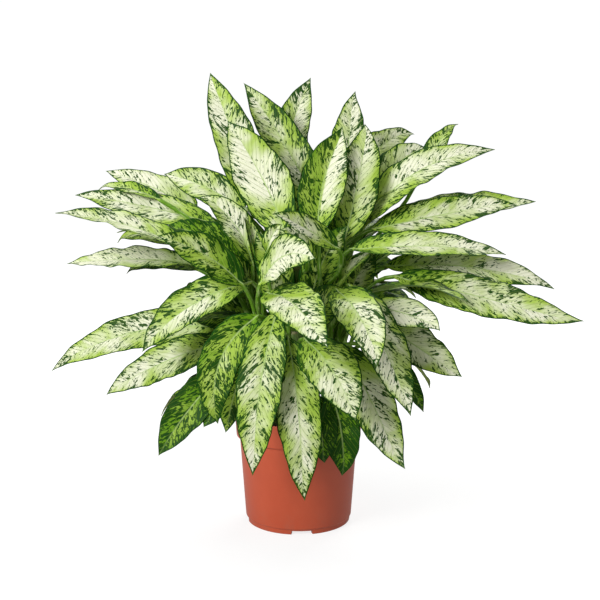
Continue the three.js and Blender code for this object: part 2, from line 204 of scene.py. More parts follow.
leafColors = {
    "cream": (0.80, 0.81, 0.62),
    "paleGreen": (0.38, 0.54, 0.075),
    "freshGreen": (0.12, 0.28, 0.006),
    "fleckGreen": (0.005, 0.052, 0.0005),
    "marginGreen": (0.007, 0.062, 0.001),
    "midribGreen": (0.40, 0.55, 0.19),
    "under": (0.34, 0.47, 0.13),
    "stalk": (0.11, 0.25, 0.012),
}

leafMarks = {
    "veinLean": 42,              # degrees between a side vein's start and the midrib's normal
    "veinSweep": (1.35, 2.2),    # how the side veins bend forwards: power and strength
    "veinSpacing": 0.0075,
    "dots": (160, 270),          # marks to a metre, along and across the side veins
    "blotches": (66, 112),
    "crowding": (22, 34),
    "wash": (15, 15),
    "fibers": (60, 620),
    "dotEdge": (0.606, 0.622),   # from clear to dark; lower values give more dark
    "blotchEdge": (0.624, 0.640),
    "margin": (0.0022, 0.0013),  # from clear to dark, in metres from the edge
    "midrib": (0.0015, 0.0004),  # the same, in metres from the midrib
    "shine": 0.13,
}


def leafMaterial():
    # Fields carried by every leaf: sideways and lengthways place in metres, edge share 0 to 1,
    # metres in from the edge, share along the blade, underside 0 or 1, how green the leaf is (on the
    # left half of leaf_crown_02 this is painted shade and backlit glow), and its own seed.
    n = Nodes("speckledLeaf")
    marks = leafMarks
    length, side = n.field("lengthways"), n.field("sideways")
    edge, along, under = n.field("edgeShare"), n.field("alongShare"), n.field("underside")
    green, seed = n.field("greenness"), n.field("seed")
    out = n.math("ABSOLUTE", side)
    # Side veins leave the midrib forwards and sweep on: a is along them, b across them.
    lean = math.radians(marks["veinLean"])
    power, strength = marks["veinSweep"]
    swept = n.times(n.math("POWER", out, power), strength)
    ahead = n.math("SUBTRACT", length, swept)
    a = n.sum(n.times(ahead, math.cos(lean)), n.times(out, math.sin(lean)))
    b = n.math("SUBTRACT", n.times(ahead, math.sin(lean)), n.times(out, math.cos(lean)))
    # A layer of the noise for each leaf and each of its halves, so that no two are alike.
    half = n.times(n.math("SIGN", side), 3.7)
    layer = n.sum(n.times(seed, 17.0), half)

    def alongVeins(kind, detail, roughness, distortion=0.0):
        aScale, bScale = marks[kind]
        place = n.point(n.times(a, aScale), n.times(b, bScale), layer)
        return n.noise(place, 1.0, detail, roughness, distortion)

    small = alongVeins("dots", 2.0, 0.55, 0.7)
    large = alongVeins("blotches", 3.0, 0.6, 1.1)
    crowd = alongVeins("crowding", 2.0, 0.5, 0.3)
    wash = alongVeins("wash", 3.0, 0.60, 0.6)
    fiber = alongVeins("fibers", 2.0, 0.5)
    # More green near the edge, at the neck and at the tip, and on a greener leaf.
    nearEdge = n.math("POWER", edge, 3.0)
    push = n.sum(
        n.times(nearEdge, 0.095),
        n.times(n.ramp(along, 0.84, 1.0), 0.09),
        n.times(n.ramp(along, 0.30, 0.0), 0.05),
        n.times(n.math("SUBTRACT", crowd, 0.5), 0.34),
        n.times(n.math("SUBTRACT", green, 0.25), 0.17))
    pushedSmall, pushedLarge = n.sum(small, push), n.sum(large, push)
    dots = n.ramp(pushedSmall, *marks["dotEdge"])
    blotches = n.ramp(pushedLarge, *marks["blotchEdge"])
    dark = n.math("MAXIMUM", dots, blotches)
    halo = n.math("MAXIMUM", n.ramp(pushedSmall, 0.57, 0.65), n.ramp(pushedLarge, 0.58, 0.68))
    # Cream ground, washed with yellow-green near the neck, the edges and on a greener leaf.
    washed = n.sum(
        n.times(n.math("SUBTRACT", wash, 0.5), 1.75),
        n.times(green, 1.25),
        n.times(nearEdge, 0.42),
        n.times(n.ramp(along, 0.42, 0.0), 0.55))
    ground = n.mix(n.ramp(washed, 0.15, 0.75), leafColors["cream"], leafColors["paleGreen"])
    ground = n.mix(n.ramp(washed, 0.55, 1.30), ground, leafColors["freshGreen"])
    ground = n.mix(n.times(n.ramp(fiber, 0.50, 0.68), 0.22), ground, leafColors["paleGreen"])
    color = n.mix(n.times(halo, 0.55), ground, leafColors["freshGreen"])
    # Flecks, a little frayed by the fibres.
    frayed = n.times(dark, n.ramp(fiber, 0.25, 0.5, 0.80, 0.97))
    color = n.mix(frayed, color, leafColors["fleckGreen"])
    # Thin dark margin with an uneven inner edge.
    uneven = n.times(n.math("SUBTRACT", small, 0.5), 0.0016)
    inset = n.math("SUBTRACT", n.field("edgeInset"), uneven)
    color = n.mix(n.ramp(inset, *marks["margin"]), color, leafColors["marginGreen"])
    # Light midrib, fading towards the tip, and side veins.
    rib = n.times(n.ramp(out, *marks["midrib"]), n.ramp(along, 0.95, 0.30, 0.15, 0.85))
    color = n.mix(rib, color, leafColors["midribGreen"])
    phase = n.sum(n.times(b, 2 * math.pi / marks["veinSpacing"]), n.times(crowd, 5.0))
    veinLine = n.ramp(n.math("SINE", phase), 0.80, 1.0)
    color = n.mix(n.times(veinLine, 0.16), color, leafColors["paleGreen"])
    # Underside: greener and duller, the flecks showing through.
    color = n.mix(n.times(under, 0.62), color, leafColors["under"])
    # Stalk: plain bright green with fine pale streaks, before the blade starts.
    streaks = n.noise(n.point(n.times(length, 60.0), n.times(side, 900.0), seed), 1.0, 2.0)
    stalk = n.mix(n.ramp(streaks, 0.45, 0.75), leafColors["stalk"], leafColors["midribGreen"])
    color = n.mix(n.ramp(along, 0.012, -0.012), color, stalk)
    rough = n.sum(0.46, n.times(small, 0.16), n.times(under, 0.12))
    height = n.sum(n.times(veinLine, -0.7), n.times(fiber, 0.25), n.times(large, 0.5))
    material = n.finish(color, rough, height, 0.0010, 0.8)
    n.shader.inputs["Specular IOR Level"].default_value = marks["shine"]
    return material


caneColors = {
    "streaks": ((0.13, 0.24, 0.05), (0.30, 0.42, 0.14)),
    "scar": (0.34, 0.29, 0.15),
}


def caneMaterial():
    n = Nodes("caneSkin")
    streak = n.noise(n.stretch(n.place(), (260, 260, 22)), 1.0, 3.0, 0.6)
    color = n.mix(n.ramp(streak, 0.35, 0.7), *caneColors["streaks"])
    color = n.mix(n.field("scar"), color, caneColors["scar"])
    return n.finish(color, n.math("ADD", 0.42, n.times(streak, 0.2)), streak, 0.0006, 0.6)


potColors = {
    "plastic": ((0.50, 0.075, 0.026), (0.55, 0.088, 0.032)),
    "scuff": (0.58, 0.16, 0.085),
    "dust": (0.33, 0.12, 0.07),
    "dustHeight": 0.045,
}


def potMaterial():
    # Moulded polypropylene: a satin skin, faint orange-peel, scuffs and dust towards the foot.
    n = Nodes("terracottaPlastic")
    place = n.place()
    cloud = n.noise(place, 14.0, 3.0, 0.55)
    fine = n.noise(place, 900.0, 2.0, 0.6)
    scuff = n.noise(n.stretch(place, (60, 60, 340)), 1.0, 4.0, 0.7, 0.4)
    color = n.mix(n.ramp(cloud, 0.3, 0.7), *potColors["plastic"])
    color = n.mix(n.times(n.ramp(scuff, 0.60, 0.78), 0.18), color, potColors["scuff"])
    height = n.tree.nodes.new("ShaderNodeSeparateXYZ")
    n.put(height.inputs[0], place)
    low = n.ramp(height.outputs["Z"], potColors["dustHeight"], 0.0)
    dust = n.times(low, n.ramp(n.noise(place, 55.0, 4.0, 0.7), 0.42, 0.72))
    color = n.mix(n.times(dust, 0.30), color, potColors["dust"])
    rough = n.sum(0.36, n.times(cloud, 0.12), n.times(n.ramp(scuff, 0.58, 0.8), 0.12))
    return n.finish(color, rough, n.math("ADD", fine, n.times(scuff, 0.5)), 0.00012, 0.5)


peatColors = {
    "crumbs": ((0.012, 0.008, 0.005), (0.075, 0.046, 0.027)),
    "clods": (0.045, 0.028, 0.018),
    "fibers": (0.16, 0.10, 0.055),
}


def soilMaterial():
    n = Nodes("dampPeat")
    place = n.place()
    crumbs = n.noise(place, 380.0, 4.0, 0.7)
    clods = n.noise(place, 70.0, 3.0, 0.6)
    color = n.mix(n.ramp(crumbs, 0.35, 0.68), *peatColors["crumbs"])
    color = n.mix(n.times(n.ramp(clods, 0.55, 0.75), 0.5), color, peatColors["clods"])
    fiber = n.cells(n.stretch(place, (500, 140, 500)), 1.0)
    color = n.mix(n.times(n.ramp(fiber, 0.10, 0.02), 0.5), color, peatColors["fibers"])
    return n.finish(color, 0.95, crumbs, 0.002, 0.9)


speckled = leafMaterial()
caneSkin = caneMaterial()
potSkin = potMaterial()
peatSkin = soilMaterial()
print("materials made")


def uniquePoints(node):
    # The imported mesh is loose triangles. Points that agree to a hundredth of a millimetre are
    # merged, and the triangles come back as rows of three point numbers.
    mesh = node.data
    points = np.zeros(len(mesh.vertices) * 3, np.float32)
    mesh.vertices.foreach_get("co", points)
    corners = np.zeros(len(mesh.loops), np.int32)
    mesh.loops.foreach_get("vertex_index", corners)
    points = points.reshape(-1, 3).astype(float)
    keys = np.round(points * 1e5).astype(np.int64)
    _, first, inverse = np.unique(keys, axis=0, return_index=True, return_inverse=True)
    return points[first], inverse.ravel()[corners].reshape(-1, 3)


def hopsFrom(start, linked):
    # Number of mesh edges from one point to every other.
    hops = np.full(len(linked), -1)
    front = np.zeros(len(linked), bool)
    front[start] = True
    step = 0
    while front.any():
        hops[front] = step
        front = linked[front].any(axis=0) & (hops < 0)
        step += 1
    return hops


packedLeaf = {
    "ringPoints": 6,
    "stalkRings": 3,
    "thickness": 0.0007,
}


def leafRings(node):
    # A packed leaf is rings of six points closed to one tip: the rings are the points that are
    # the same number of edges from the tip. They come back in order from the cane to the tip.
    points, triangles = uniquePoints(node)
    linked = np.zeros((len(points), len(points)), bool)
    for i, j in ((0, 1), (1, 2), (2, 0)):
        linked[triangles[:, i], triangles[:, j]] = True
        linked[triangles[:, j], triangles[:, i]] = True
    oneEnd = int(np.argmax(hopsFrom(0, linked)))
    otherEnd = int(np.argmax(hopsFrom(oneEnd, linked)))
    for tip in (oneEnd, otherEnd):
        hops = hopsFrom(tip, linked)
        if np.all(np.bincount(hops)[1:] == packedLeaf["ringPoints"]):
            break
    rings = np.stack([points[hops == step] for step in range(hops.max(), 0, -1)])
    return rings, points[tip]


def leafLines(node):
    # From the rings: the leaf's centre line with the number of its first place on the blade, the
    # upward direction at each ring of the blade, its half width and the angle it is folded by.
    rings, tip = leafRings(node)
    stalkRings, thickness = packedLeaf["stalkRings"], packedLeaf["thickness"]
    centres = rings.mean(axis=1)
    blade = rings[stalkRings + 1:]
    spread = blade - blade.mean(axis=1, keepdims=True)
    axes = np.linalg.svd(spread, full_matrices=False)[2][:, 0]
    turns = np.cumprod(np.concatenate([[1.0], np.sign(np.sum(axes[1:] * axes[:-1], axis=1))]))
    axes = axes * turns[:, None]
    order = np.argsort(np.einsum("rpc,rc->rp", spread, axes), axis=1)
    sortedBlade = np.take_along_axis(blade, order[:, :, None], axis=1)
    left, middle, right = (sortedBlade[:, i:i + 2].mean(axis=1) for i in (0, 2, 4))
    tangents = unit(np.gradient(np.vstack([middle, tip]), axis=0)[:-1])
    normals = (left + right) / 2 - middle
    normals -= tangents * np.sum(normals * tangents, axis=1, keepdims=True)
    normals = unit(normals)
    across = unit(np.cross(tangents, normals))
    halfSpan = np.linalg.norm(right - left, axis=1) / 2
    lift = np.sum(((left + right) / 2 - middle) * normals, axis=1)
    widest = int(np.argmax(halfSpan))
    ridge = sortedBlade[:, 2:4]
    above = np.einsum("rpc,rc->rp", ridge - middle[:, None], normals).max(axis=1)
    centres[stalkRings + 1:] = middle + normals * (above - thickness)[:, None]
    return {
        "centres": np.vstack([centres, tip]),
        "neck": stalkRings,
        "normals": normals,
        "halfWidth": float(np.hypot(halfSpan[widest], lift[widest] - thickness)),
        "fold": float(np.arctan2(lift[widest] - thickness, halfSpan[widest])),
    }


def carriedNormals(tangents, start, startNormal):
    # A normal carried along the line without twist, both ways from one place.
    normals = np.zeros_like(tangents)
    normals[start] = unit(startNormal - tangents[start] * (startNormal @ tangents[start]))
    for i in list(range(start - 1, -1, -1)) + list(range(start + 1, len(tangents))):
        before = normals[i + 1] if i < start else normals[i - 1]
        normals[i] = unit(before - tangents[i] * (before @ tangents[i]))
    return normals


leafShape = {
    "widen": 1.06,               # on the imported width, for the soft edge
    "rise": 0.62,                # how fast the blade widens from its neck
    "fall": 0.84,                # how fast it narrows to the tip
    "dripTip": 0.62,             # share taken off the width close to the tip
    "dripReach": 0.065,
    "acrossSteps": (20, 14),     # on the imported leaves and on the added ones
    "bladeSteps": (54, 36),
    "stalkSteps": (12, 9),
    "stepPower": 0.92,           # below 1 the blade's steps get shorter towards the tip
    "evenness": 0.65,            # 1 for equal steps across, less to crowd them at the edges
    "lastRing": 0.9985,          # share of the blade at which its last ring stands
    "point": 0.0008,             # from there to the closing point
    "neckReach": 0.05,           # share of the blade over which the round stalk flattens
    "thickness": 0.0007,
    "edgeThickness": 0.00035,
    "groove": 0.0006,
    "grooveWidth": 0.0016,
    "keel": 0.0020,
    "keelWidth": 0.0017,
    "thinning": 0.85,            # how much of stalk, groove and keel is gone at the tip
    "thinnest": 0.12,
    "cup": 0.10,                 # how much each half curls down towards its edge
    "wave": 0.0017,              # height of the waves along the edge
    "waveLength": 0.052,
    "secondWave": 0.57,          # its length, as a share of the first one's
    "ruffle": 0.035,             # share by which the outline swings in and out
    "ruffleLengths": (1.4, 0.5),
    "neckFold": 0.9,             # how much more the halves fold up by the neck
    "neckFoldReach": 0.12,
    "foldLimits": (-0.3, 1.35),
    "tilt": 6.0,                 # degrees one half may stand higher than the other
    "tipCurl": 0.006,
    "curlReach": 0.16,           # share of the blade that curls
    "veinRelief": 0.00034,
    "veinSpacing": 0.0062,
    "veinLean": (0.62, 0.79),    # forwards and outwards
    "stalkRadius": 0.0030,
    "sheathRadius": 0.0046,
    "sheathReach": 0.6,          # share of the stalk that widens into the sheath
}


def widthShare(along, shape):
    # Blade outline: (u/p)^rise * ((1-u)/(1-p))^fall, with its widest place p at
    # rise / (rise + fall), and a share taken off near the tip to draw it out.
    peak = shape["rise"] / (shape["rise"] + shape["fall"])
    inside = np.clip(along, 0.0, 1.0)
    share = (inside / peak) ** shape["rise"] * ((1 - inside) / (1 - peak)) ** shape["fall"]
    return share * (1 - shape["dripTip"] * np.exp(-(1 - inside) / shape["dripReach"]))


grownPoints = []       # a share of every grown leaf's points, for keeping later leaves clear
grownShare = 11


def clearance(lines):
    # Least distance from a leaf's own places (on the end of its stalk, its midrib and partway out
    # on both halves) to every leaf grown so far.
    centres, neck = lines["centres"], lines["neck"]
    blade = centres[neck:]
    across = unit(np.cross(unit(np.gradient(blade, axis=0)), lines["facing"]))
    half = lines["halfWidth"] * widthShare(np.linspace(0, 1, len(blade)), leafShape)[:, None]
    halves = [blade + across * half * x for x in (-0.9, -0.5, 0.5, 0.9)]
    own = np.vstack([centres[neck - 4:neck], blade] + halves)
    others = np.concatenate(grownPoints)
    ownSquares, otherSquares = (own ** 2).sum(axis=1), (others ** 2).sum(axis=1)
    squares = ownSquares[:, None] + otherSquares[None] - 2 * own @ others.T
    return math.sqrt(max(squares.min(), 0.0))


def leafHabit(seed):
    # What differs from leaf to leaf beyond its line, width and fold.
    draw = np.random.default_rng(seed)
    shape = leafShape
    return {
        "curl": draw.uniform(-1, 1, 2) * shape["tipCurl"],
        "tilt": math.radians(draw.uniform(-1, 1) * shape["tilt"]),
        "cup": shape["cup"] * draw.uniform(0.3, 1.5),
        "phases": draw.uniform(0, 2 * math.pi, 4),
        "waveLength": shape["waveLength"] * draw.uniform(0.75, 1.3),
        "wave": shape["wave"] * draw.uniform(0.5, 1.25),
    }


def leafWay(lines, stalkSteps, bladeSteps, curl):
    # The leaf's line at each ring of its mesh: the distance from the cane, the middle, the
    # directions across and up, and the closing point. The blade's end is curled aside by the
    # square of the way into it, and down by the same.
    shape = leafShape
    centres, neck = lines["centres"], lines["neck"]
    reach = np.concatenate([[0], np.cumsum(np.linalg.norm(np.diff(centres, axis=0), axis=1))])
    neckAt, tipAt = reach[neck], reach[-1]
    stalkAt = np.linspace(0, neckAt, stalkSteps, endpoint=False)
    bladeShare = np.linspace(0, 1, bladeSteps) ** shape["stepPower"]
    at = np.concatenate([stalkAt, neckAt + bladeShare * (tipAt - neckAt) * shape["lastRing"]])
    middle = smoothThrough(reach, centres, at)
    tangents = unit(np.gradient(middle, at, axis=0))
    start = stalkSteps + bladeSteps // 2
    if "normals" in lines:
        near = np.argmin(np.abs(reach[neck + 1:-1] - at[start]))
        startNormal = lines["normals"][near]
    else:
        startNormal = lines["facing"]
    normals = carriedNormals(tangents, start, startNormal)
    across = np.cross(tangents, normals)
    curled = shape["curlReach"] * (tipAt - neckAt)
    nearTip = np.clip((at - tipAt + curled) / curled, 0, 1)[:, None] ** 2
    middle = middle + nearTip * (across * curl[0] - normals * abs(curl[1]))
    return at, neckAt, tipAt, middle, across, normals, middle[-1] + tangents[-1] * shape["point"]


def aroundLeaf(steps):
    # Places round the tube, x from -1 at the left edge over the upper face to 1 at the right edge
    # and back underneath, with whether each is underneath.
    even = np.linspace(-1, 1, steps + 1)
    crowded = np.sin(np.linspace(-math.pi / 2, math.pi / 2, steps + 1))
    top = (1 - leafShape["evenness"]) * crowded + leafShape["evenness"] * even
    bottom = top[::-1][1:-1]
    return np.concatenate([top, bottom]), np.concatenate([np.zeros(len(top)), np.ones(len(bottom))])


def edgeWaves(s, along, x, habit):
    # Up and down: wave * |x|^1.6 * sin(pi u)^0.7 * two sines of s. In and out: 1 + ruffle * two
    # sines of s. Each half has its own phase.
    phases, waveLength = habit["phases"], habit["waveLength"]
    turns = 2 * math.pi * s
    side = np.where(x > 0, 1.0, 0.0)[None, :]
    phase = phases[0] * side + phases[1] * (1 - side)
    wave = np.sin(turns / waveLength + phase)
    wave = wave + 0.5 * np.sin(turns / (waveLength * leafShape["secondWave"]) + phases[2] + phase)
    strength = habit["wave"] * np.sin(math.pi * along) ** 0.7
    ripple = strength[:, None] * np.abs(x)[None, :] ** 1.6 * wave
    longer, shorter = leafShape["ruffleLengths"]
    swing = (np.sin(turns / (waveLength * longer) + phases[3] + 2.3 * side)
             + 0.5 * np.sin(turns / (waveLength * shorter) + phases[0] - side))
    return ripple, 1 + leafShape["ruffle"] * swing


def bladeSection(s, along, half, x, isUnder, thinning, foldAngle, habit):
    # Over the blade, with |x| the share of the half width h out from the midrib:
    # out = x * h * ruffle * cos(fold)
    # up = h * (sin(fold) * |x|^1.1 - cup * x^2) + ripple - groove by the midrib + vein relief,
    # less the thickness and the keel on the underside.
    shape = leafShape
    outwards = np.abs(x)[None, :]
    ripple, ruffle = edgeWaves(s, along, x, habit)
    flatX = x[None, :] * half[:, None] * ruffle
    lift = half[:, None] * (np.sin(foldAngle) * outwards ** 1.1 - habit["cup"] * x[None, :] ** 2) + ripple
    thin = thinning[:, None]
    lift = lift - shape["groove"] * np.exp(-(flatX / shape["grooveWidth"]) ** 2) * thin
    isEdge = np.abs(outwards - 1) < 1e-6
    thick = np.where(isEdge, 0.0, shape["edgeThickness"]
                     + (shape["thickness"] - shape["edgeThickness"]) * (1 - outwards))
    keel = shape["keel"] * thin * np.exp(-(flatX / (shape["keelWidth"] * thin)) ** 2)
    lift = lift - (thick + keel) * isUnder[None, :]
    forwards, sidewards = shape["veinLean"]
    veins = np.sin(2 * math.pi * (s * forwards - np.abs(flatX) * sidewards) / shape["veinSpacing"])
    fading = np.clip(1 - outwards ** 6, 0, 1) * np.sin(math.pi * along)[:, None]
    return flatX * np.cos(foldAngle), lift + shape["veinRelief"] * veins * fading


def growLeaf(name, lines, seed, greenness, replaced=()):
    # A leaf is one closed tube: u runs from the cane up the stalk and along the midrib to the
    # tip, v runs round it. At u it is a circle on the stalk, (cos v, sin v) * radius, and turns
    # into the thin folded plate of bladeSection over the first part of the blade.
    shape = leafShape
    added = 0 if replaced else 1
    stalkSteps, bladeSteps, steps = (
        shape[key][added] for key in ("stalkSteps", "bladeSteps", "acrossSteps"))
    habit = leafHabit(seed)
    at, neckAt, tipAt, middle, across, normals, tipPlace = leafWay(
        lines, stalkSteps, bladeSteps, habit["curl"])
    bladeLength = tipAt - neckAt
    along = (at - neckAt) / bladeLength
    inBlade = np.clip(along, 0, 1)
    half = lines["halfWidth"] * shape["widen"] * widthShare(along, shape)
    thinning = np.clip(1 - shape["thinning"] * inBlade, shape["thinnest"], 1)
    widening = np.clip(1 - at / (neckAt * shape["sheathReach"]), 0, 1)
    radius = np.where(along > 0, shape["stalkRadius"] * thinning,
                      shape["stalkRadius"] + (shape["sheathRadius"] - shape["stalkRadius"]) * widening)
    plate = np.clip(along / shape["neckReach"], 0, 1)[:, None]     # 0 on the stalk, 1 on the blade
    x, isUnder = aroundLeaf(steps)
    angle = math.pi * (1 - np.arange(len(x)) / (len(x) / 2))
    stronger = 1 + shape["neckFold"] * np.exp(-inBlade / shape["neckFoldReach"])[:, None]
    foldAngle = np.clip(lines["fold"] * stronger + habit["tilt"] * np.sign(x)[None, :],
                        *shape["foldLimits"])
    s = at[:, None]
    outSide, lift = bladeSection(s, inBlade, half, x, isUnder, thinning, foldAngle, habit)
    sideways = radius[:, None] * np.cos(angle)[None, :] * (1 - plate) + outSide * plate
    upwards = radius[:, None] * np.sin(angle)[None, :] * (1 - plate) + lift * plate
    points = (middle[:, None, :] + across[:, None, :] * sideways[:, :, None]
              + normals[:, None, :] * upwards[:, :, None])
    count, around = points.shape[:2]
    allPoints = np.concatenate([points.reshape(-1, 3), tipPlace[None, :], middle[:1]])
    grownPoints.append(allPoints[::grownShare])
    ring = np.arange(around)
    nextRing = (ring + 1) % around
    lastRing = (count - 1) * around
    capTip = np.stack([lastRing + ring, lastRing + nextRing, np.full(around, count * around)], -1)
    capBase = np.stack([nextRing, ring, np.full(around, count * around + 1)], -1)
    # v runs clockwise seen from the tip, so the faces are turned to point outwards.
    mesh = newMesh(name, allPoints, gridFaces(count, around)[:, ::-1],
                   np.concatenate([capTip, capBase])[:, ::-1])

    def carry(field, values, tipValue, baseValue):
        onRings = np.broadcast_to(values, (count, around)).ravel()
        addField(mesh, field, np.concatenate([onRings, [tipValue, baseValue]]))

    # For leaf_crown_02 the left half's greenness is painted shade and backlit glow on its folded half.
    leftGreenAndShade, rightGreen = greenness if isinstance(greenness, tuple) else (greenness, greenness)
    ownLayer = seed % 97 / 9.7
    inset = (1 - np.abs(x)[None, :]) * half[:, None]
    carry("lengthways", s - neckAt, bladeLength, 0)
    carry("sideways", sideways, 0, 0)
    carry("edgeShare", np.abs(x)[None, :] * plate, 1, 0)
    carry("edgeInset", inset + 0.01 * (1 - plate), 0, 0.01)     # no margin on the stalk
    carry("alongShare", along[:, None], 1, -1)
    carry("underside", isUnder[None, :] * plate, 0, 0)
    carry("greenness", np.where(x > 0, rightGreen, leftGreenAndShade)[None, :], rightGreen, rightGreen)
    carry("seed", ownLayer, ownLayer, ownLayer)
    return newPiece(name, mesh, speckled, replaced)


caneShape = {
    "around": 28,
    "rise": 0.0015,        # between two rings of the mesh
    "nodeEvery": 0.023,    # between two leaf scars
    "nodeSwell": 0.09,
    "scarHeight": 0.0022,
    "topRounding": 0.008,
    "topClosing": 0.9,     # how far the rounding goes in towards the axis
    "wobble": 0.03,        # share by which it is out of round
    "wobbleTurn": 60,      # radians to a metre of height
    "packedRings": 7,
    "packedSides": 10,
}


def caneLine(node):
    # Centres and radii of a packed cane's level rings, from the soil up.
    points, _ = uniquePoints(node)
    levels = points[np.argsort(points[:, 2])]
    levels = levels.reshape(caneShape["packedRings"], caneShape["packedSides"], 3)
    centres = levels.mean(axis=1)
    return centres, np.linalg.norm(levels - centres[:, None], axis=2).mean(axis=1)


def caneAt(line, height):
    centres = line[0]
    return np.array([np.interp(height, centres[:, 2], centres[:, i]) for i in range(3)])


caneLines = {name.removeprefix("cane_"): caneLine(node)
             for name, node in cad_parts.items() if name.startswith("cane_")}


def growCane(name, line):
    # A round stem, r(z) = radius * (1 + nodeSwell * exp(-(d / scarHeight)^2)), where d is the
    # height above or below the nearest leaf scar, a little out of round and closed over a
    # rounded top.
    shape = caneShape
    centres, radii = line
    heights = np.arange(centres[0, 2], centres[-1, 2], shape["rise"])
    middle = smoothThrough(centres[:, 2], centres, heights)
    radius = np.interp(heights, centres[:, 2], radii)
    offset = sum(map(ord, name)) % 13 / 13 * shape["nodeEvery"]     # other heights on each cane
    nearest = (heights + offset + shape["nodeEvery"] / 2) % shape["nodeEvery"] - shape["nodeEvery"] / 2
    scar = np.exp(-(nearest / shape["scarHeight"]) ** 2)
    radius = radius * (1 + shape["nodeSwell"] * scar)
    fromTop = np.clip((centres[-1, 2] - heights) / shape["topRounding"], 0, 1)
    radius = radius * np.sqrt(1 - (1 - fromTop) ** 2 * shape["topClosing"])
    angle = np.linspace(0, 2 * math.pi, shape["around"], endpoint=False)
    wobble = 1 + shape["wobble"] * np.sin(3 * angle[None, :] + heights[:, None] * shape["wobbleTurn"])
    rings = np.stack([
        middle[:, None, 0] + radius[:, None] * wobble * np.cos(angle),
        middle[:, None, 1] + radius[:, None] * wobble * np.sin(angle),
        middle[:, None, 2] + 0 * wobble], -1)
    count, around = rings.shape[:2]
    points = np.concatenate([rings.reshape(-1, 3), middle[:1], middle[-1:]])
    ring = np.arange(around)
    last = (count - 1) * around
    bottomCap = np.stack([(ring + 1) % around, ring, np.full(around, count * around)], -1)
    topCap = np.stack([last + ring, last + (ring + 1) % around, np.full(around, count * around + 1)], -1)
    mesh = newMesh(name, points, gridFaces(count, around), np.concatenate([bottomCap, topCap]))
    addField(mesh, "scar", np.concatenate([np.repeat(scar, around), [0, 0]]))
    return newPiece(name, mesh, caneSkin, ["cane_" + name.replace("Cane", "")])


for caneName, line in caneLines.items():
    growCane(caneName + "Cane", line)
print("canes grown:", len(caneLines))


# How green single leaves are, from 0 for nearly white to 1, or a pair for the two halves; the
# others have the usual green. The pair for leaf_crown_02 makes its left half greener as painted
# shade and backlit glow on that folded half, beside its nearly white right half.
greenLeavesAndShadedHalf = {
    "leaf_left_07": 0.75, "leaf_front_09": 0.62, "leaf_front_10": 0.95, "leaf_left_03": 0.85,
    "leaf_crown_03": 0.15, "leaf_front_01": 0.15, "leaf_front_04": 0.34, "leaf_left_04": 0.45,
    "leaf_front_06": 0.28, "leaf_front_07": 0.30, "leaf_left_11": 0.12, "leaf_crown_02": (0.58, 0.10),
    "leaf_crown_08": 0.65, "leaf_left_01": 0.30,
}
usualGreen = 0.25
backGreen = 0.40
sheathDepth = 0.014        # how far below its first ring a stalk leaves its cane


def rooted(lines):
    # The same lines with the stalk carried down into the nearest cane.
    first = lines["centres"][0]
    height = first[2] - sheathDepth
    feet = [caneAt(line, height) for line in caneLines.values()]
    nearest = min(feet, key=lambda foot: math.hypot(*(foot - first)[:2]))
    lines["centres"] = np.vstack([nearest, lines["centres"]])
    lines["neck"] += 1
    return lines


leafNodes = sorted(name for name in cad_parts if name.startswith("leaf_"))
for number, nodeName in enumerate(leafNodes):
    greenness = greenLeavesAndShadedHalf.get(nodeName, backGreen if "back" in nodeName else usualGreen)
    growLeaf(nodeName.replace("leaf_", "foliage_"), rooted(leafLines(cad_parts[nodeName])),
             11 + 7 * number, greenness, [nodeName])
print("leaves grown:", len(leafNodes))

